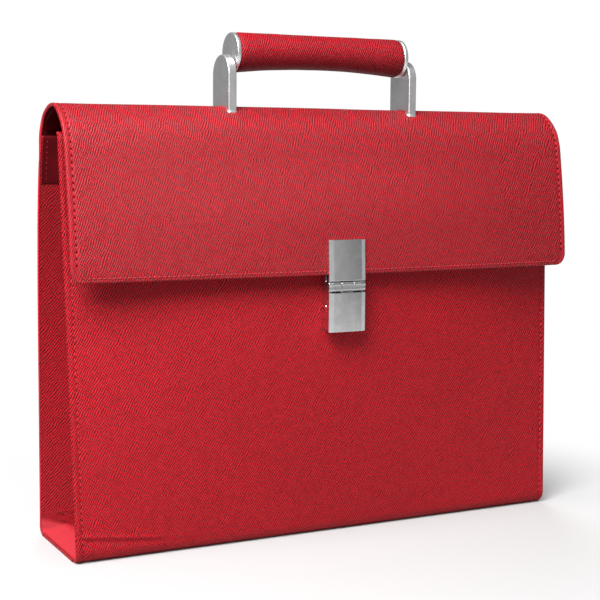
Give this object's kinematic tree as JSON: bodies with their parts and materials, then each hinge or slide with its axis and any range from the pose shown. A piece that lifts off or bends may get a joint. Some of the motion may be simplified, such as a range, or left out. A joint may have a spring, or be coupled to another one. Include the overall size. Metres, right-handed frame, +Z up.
{
  "type": "briefcase",
  "caption": "Slim soft-sided leather briefcase: a flap over a rounded crown, a rigid grip folding between flat metal posts, folded side gussets and a front hasp lock.",
  "frame": {"origin": "middle of the whole object's box, on the surface that the base stands on", "axes": "+X across the width towards the right as seen from the front, +Y towards the back, +Z up; the flap and the lock face -Y"},
  "size_m": [0.4022, 0.1102, 0.3656],
  "materials": {
    "leather": "diagonally embossed grain with a soft satin sheen",
    "gusset_leather": "supple diagonal grain, satin",
    "grip_leather": "fine grain, tightly wrapped, satin",
    "lining": "matt twill",
    "board": "pressed fibre board, matt",
    "core": "turned hardwood, plain",
    "steel": "nickel plated, polished with a satin face",
    "dark_steel": "plain zinc plated",
    "washer": "acetal, matt"
  },
  "bodies": {
    "case": {"front_panel": "leather", "back_panel": "leather", "bottom_panel": "leather", "left_gusset": "gusset_leather", "right_gusset": "gusset_leather", "left_gusset_stay": "gusset_leather", "right_gusset_stay": "gusset_leather", "front_board": "board", "back_board": "board", "bottom_board": "board", "front_lining": "lining", "back_lining": "lining", "bottom_lining": "lining", "divider": "lining", "inner_pocket": "lining", "lock_receiver": "steel", "receiver_cross_pin": "steel", "receiver_magnet": "dark_steel", "receiver_backplate": "dark_steel", "receiver_screw_1": "dark_steel", "receiver_screw_2": "dark_steel"},
    "flap": {"flap_leather": "leather", "flap_lining": "lining", "crown_stiffener": "board", "handle_rail": "dark_steel", "left_post": "steel", "right_post": "steel", "left_post_collar": "steel", "right_post_collar": "steel", "left_post_screw": "dark_steel", "right_post_screw": "dark_steel", "lock_upper_plate": "steel", "lock_hinge_pin": "dark_steel", "lock_backplate": "dark_steel", "lock_screw_1": "dark_steel", "lock_screw_2": "dark_steel"},
    "handle": {"grip_leather": "grip_leather", "grip_core": "core", "left_end_cap": "steel", "right_end_cap": "steel", "left_pivot_pin": "dark_steel", "right_pivot_pin": "dark_steel", "left_friction_washer": "washer", "right_friction_washer": "washer"},
    "hasp": {"lock_lever": "steel", "lever_armature": "dark_steel"}
  },
  "joints": [
    {"name": "flap_hinge", "type": "hinge", "parent": "case", "child": "flap", "pos_m": [0, 0.02405, 0.291], "axis": [-1, 0, 0], "range_deg": [0, 150]},
    {"name": "handle_pivot", "type": "hinge", "parent": "flap", "child": "handle", "pos_m": [0, -0.0044, 0.3425], "axis": [-1, 0, 0], "range_deg": [-90, 90]},
    {"name": "hasp_hinge", "type": "hinge", "parent": "flap", "child": "hasp", "pos_m": [0, -0.05145, 0.1845], "axis": [-1, 0, 0], "range_deg": [0, 80]}
  ]
}
